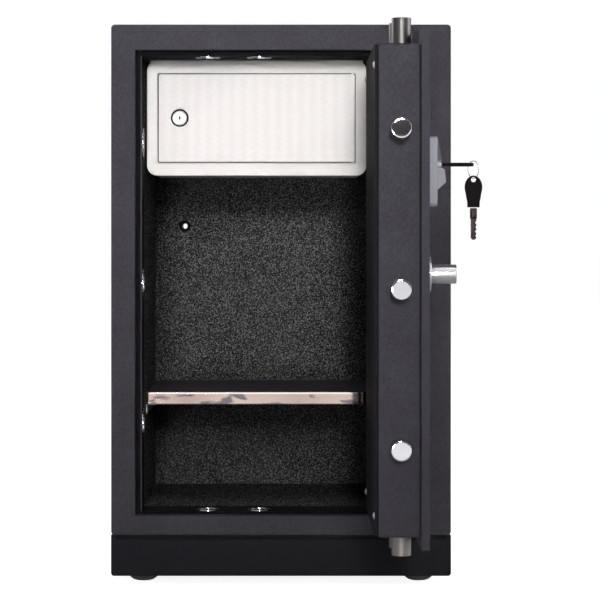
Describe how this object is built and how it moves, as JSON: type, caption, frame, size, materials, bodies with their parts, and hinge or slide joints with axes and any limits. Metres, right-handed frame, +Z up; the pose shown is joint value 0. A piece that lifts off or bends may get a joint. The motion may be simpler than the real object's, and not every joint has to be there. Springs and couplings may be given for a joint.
{
  "type": "burglary safe",
  "caption": "Upright steel safe with an open bolt-work door on pivot pins, key lock, turning handle, inner locker, carpet lining and a shelf.",
  "frame": {"origin": "on the floor under the middle of the plinth, where the four feet rest", "axes": "+X to the right seen from the front, +Y back into the cabinet, +Z up"},
  "size_m": [0.4647, 0.7724, 0.741],
  "materials": {
    "paint": "fine-textured charcoal powder coat, satin",
    "plinth_paint": "fine-textured near-black powder coat, satin",
    "bare_steel": "zinc-plated sheet steel",
    "chrome": "polished chrome plate",
    "satin_steel": "satin turned steel",
    "silver_paint": "satin silver on die casting",
    "white_paint": "smooth white enamel",
    "carpet": "needle-punched charcoal felt carpet",
    "shelf_paint": "shelf covered in the same charcoal felt",
    "black_trim": "matt black",
    "barrier": "cast light insulating barrier, hidden",
    "rubber": "grey-brown rubber",
    "key_plastic": "black moulded key head"
  },
  "bodies": {
    "cabinet": {"body_wrap": "paint", "back_panel": "paint", "front_frame": "paint", "inner_tank": "bare_steel", "barrier_fill": "barrier", "felt_wrap": "carpet", "felt_back": "carpet", "cable_grommet": "black_trim", "plinth": "plinth_paint", "foot_front_left": "rubber", "foot_front_right": "rubber", "foot_back_left": "rubber", "foot_back_right": "rubber", "side_strike_lower": "chrome", "side_strike_middle": "chrome", "side_strike_upper": "chrome", "roof_strike_outer": "chrome", "roof_strike_inner": "chrome", "floor_strike_outer": "chrome", "floor_strike_inner": "chrome", "door_seal": "black_trim", "hinge_pin_top": "bare_steel", "hinge_pin_bottom": "bare_steel", "locker_box": "white_paint", "locker_bezel": "white_paint", "shelf_board": "shelf_paint", "shelf_trim": "chrome", "shelf_rail_left": "bare_steel", "shelf_rail_right": "bare_steel"},
    "door": {"door_plate": "paint", "door_box": "paint", "door_inner_cover": "black_trim", "side_bolt_guide": "bare_steel", "handle_rosette": "satin_steel", "lock_base": "silver_paint", "lock_hood": "silver_paint", "lock_barrel": "satin_steel", "lock_case": "bare_steel"},
    "handle": {"handle_knob": "satin_steel", "handle_shaft": "bare_steel", "bolt_cam": "bare_steel"},
    "side_bolts": {"side_bolt_bar": "bare_steel", "side_bolt_lower": "chrome", "side_bolt_middle": "chrome", "side_bolt_upper": "chrome"},
    "top_bolts": {"top_bolt_bar": "bare_steel", "top_bolt_outer": "chrome", "top_bolt_inner": "chrome"},
    "bottom_bolts": {"bottom_bolt_bar": "bare_steel", "bottom_bolt_outer": "chrome", "bottom_bolt_inner": "chrome"},
    "plug": {"lock_plug": "satin_steel"},
    "key": {"key_bow": "key_plastic", "key_blade": "satin_steel"},
    "ring": {"key_ring": "chrome"},
    "spare_key": {"spare_key_bow": "key_plastic", "spare_key_blade": "satin_steel"},
    "small_door": {"locker_door": "white_paint", "locker_lock_barrel": "chrome"},
    "small_plug": {"locker_lock_plug": "satin_steel"}
  },
  "joints": [
    {"name": "door_hinge", "type": "hinge", "parent": "cabinet", "child": "door", "pos_m": [0.1689, -0.195, 0.311], "axis": [0, 0, 1], "range_deg": [-90, 35]},
    {"name": "handle_turn", "type": "hinge", "parent": "door", "child": "handle", "pos_m": [0.1739, -0.4954, 0.4153], "axis": [-1, 0, 0], "range_deg": [-0.3, 90.3]},
    {"name": "side_bolts_slide", "type": "slide", "parent": "door", "child": "side_bolts", "axis": [0, 1, 0], "range_m": [0, 0.03]},
    {"name": "top_bolts_slide", "type": "slide", "parent": "door", "child": "top_bolts", "axis": [0, 0, -1], "range_m": [-0.0001, 0.0301]},
    {"name": "bottom_bolts_slide", "type": "slide", "parent": "door", "child": "bottom_bolts", "axis": [0, 0, 1], "range_m": [-0.0001, 0.0301]},
    {"name": "key_turn", "type": "hinge", "parent": "door", "child": "plug", "pos_m": [0.1739, -0.4954, 0.546], "axis": [-1, 0, 0], "range_deg": [-90, 0]},
    {"name": "key_withdraw", "type": "slide", "parent": "plug", "child": "key", "axis": [1, 0, 0], "range_m": [0, 0.026]},
    {"name": "ring_swing", "type": "hinge", "parent": "key", "child": "ring", "pos_m": [0.2277, -0.4994, 0.546], "axis": [0.5299, -0.848, 0], "range_deg": [-20, 20]},
    {"name": "spare_key_swing", "type": "hinge", "parent": "ring", "child": "spare_key", "pos_m": [0.22924, -0.50155, 0.5294], "axis": [0, 1, 0], "range_deg": [-20, 20]},
    {"name": "small_door_hinge", "type": "hinge", "parent": "cabinet", "child": "small_door", "pos_m": [0.097, -0.1224, 0.621], "axis": [0, 0, 1], "range_deg": [0, 90]},
    {"name": "small_lock_turn", "type": "hinge", "parent": "small_door", "child": "small_plug", "pos_m": [-0.1374, -0.1264, 0.621], "axis": [0, 1, 0], "range_deg": [-90, 0]}
  ],
  "couplings": [
    {"joint": "handle_turn", "follows": "side_bolts_slide", "rad_per_m": 52.36},
    {"joint": "top_bolts_slide", "follows": "side_bolts_slide", "ratio": 1},
    {"joint": "bottom_bolts_slide", "follows": "side_bolts_slide", "ratio": 1}
  ]
}
